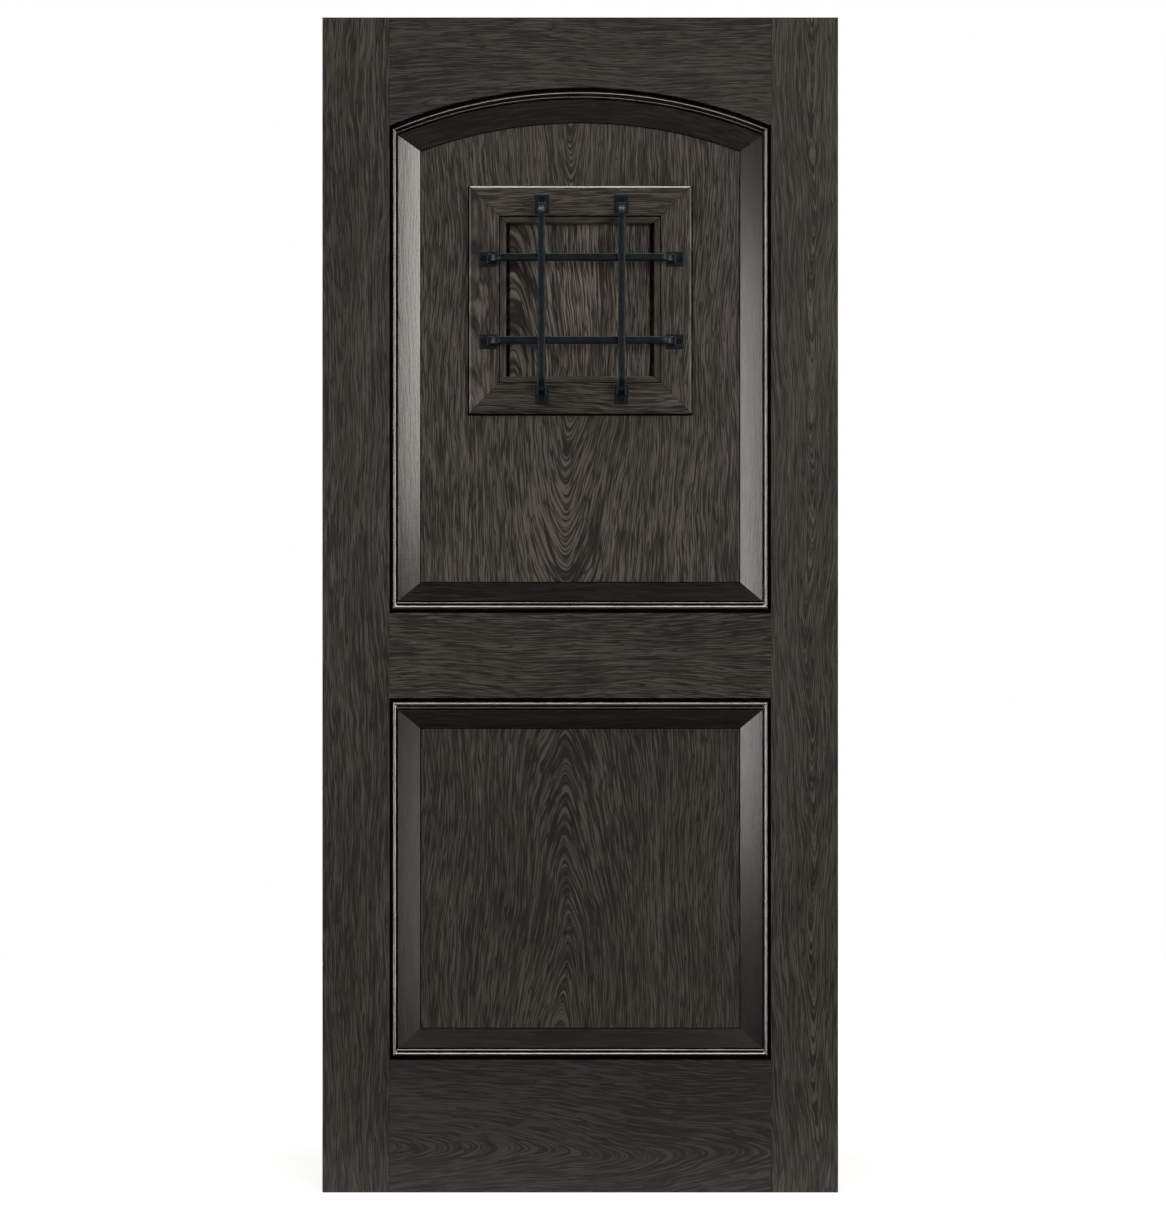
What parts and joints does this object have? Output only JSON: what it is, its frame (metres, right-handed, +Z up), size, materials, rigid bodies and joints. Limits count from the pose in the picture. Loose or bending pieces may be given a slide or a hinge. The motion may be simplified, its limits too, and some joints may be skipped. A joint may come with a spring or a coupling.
{
  "type": "wine cellar door",
  "caption": "Dark oak cellar door leaf with an arched upper panel, a square lower panel and a barred speakeasy with a small hatch that opens inwards.",
  "frame": {"origin": "on the hinge edge's flat face, at the foot of the leaf and at the middle of its thickness", "axes": "+X across the leaf from the hinge edge, +Y from the barred outer face to the inner face, +Z up"},
  "size_m": [0.9144, 0.1195, 2.0828],
  "materials": {
    "stile_wood": "charcoal stained oak, satin, grain upright",
    "rail_wood": "charcoal stained oak, satin, grain across",
    "panel_wood": "charcoal stained oak, satin, grain upright with cathedrals",
    "moulding_wood": "charcoal stained oak, satin, grain along each piece",
    "casing_wood": "charcoal stained oak, satin, grain along each piece",
    "forged_iron": "blue-black forged finish, low sheen",
    "dark_hardware": "blackened iron, satin"
  },
  "bodies": {
    "leaf": {"stile_left": "stile_wood", "stile_right": "stile_wood", "top_rail": "rail_wood", "lock_rail": "rail_wood", "bottom_rail": "rail_wood", "upper_panel": "panel_wood", "lower_panel": "panel_wood", "upper_moulding_left_front": "moulding_wood", "upper_moulding_left_back": "moulding_wood", "upper_moulding_right_front": "moulding_wood", "upper_moulding_right_back": "moulding_wood", "upper_moulding_bottom_front": "moulding_wood", "upper_moulding_bottom_back": "moulding_wood", "upper_moulding_arch_front": "moulding_wood", "upper_moulding_arch_back": "moulding_wood", "lower_moulding_left_front": "moulding_wood", "lower_moulding_left_back": "moulding_wood", "lower_moulding_right_front": "moulding_wood", "lower_moulding_right_back": "moulding_wood", "lower_moulding_bottom_front": "moulding_wood", "lower_moulding_bottom_back": "moulding_wood", "lower_moulding_top_front": "moulding_wood", "lower_moulding_top_back": "moulding_wood", "speakeasy_casing_left_front": "casing_wood", "speakeasy_casing_left_back": "casing_wood", "speakeasy_casing_right_front": "casing_wood", "speakeasy_casing_right_back": "casing_wood", "speakeasy_casing_bottom_front": "casing_wood", "speakeasy_casing_bottom_back": "casing_wood", "speakeasy_casing_top_front": "casing_wood", "speakeasy_casing_top_back": "casing_wood", "speakeasy_bead": "casing_wood", "grille_upright_left": "forged_iron", "grille_upright_right": "forged_iron", "grille_crossbar_lower": "forged_iron", "grille_crossbar_upper": "forged_iron", "hatch_hinge_casing_leaves": "dark_hardware"},
    "hatch": {"hatch_panel": "panel_wood", "hatch_hinge_hatch_leaves": "dark_hardware", "hatch_knob": "dark_hardware"}
  },
  "joints": [
    {"name": "hatch_swing", "type": "hinge", "parent": "leaf", "child": "hatch", "pos_m": [0.31805, 0.02652, 1.5822], "axis": [0, 0, 1], "range_deg": [0, 110]}
  ]
}
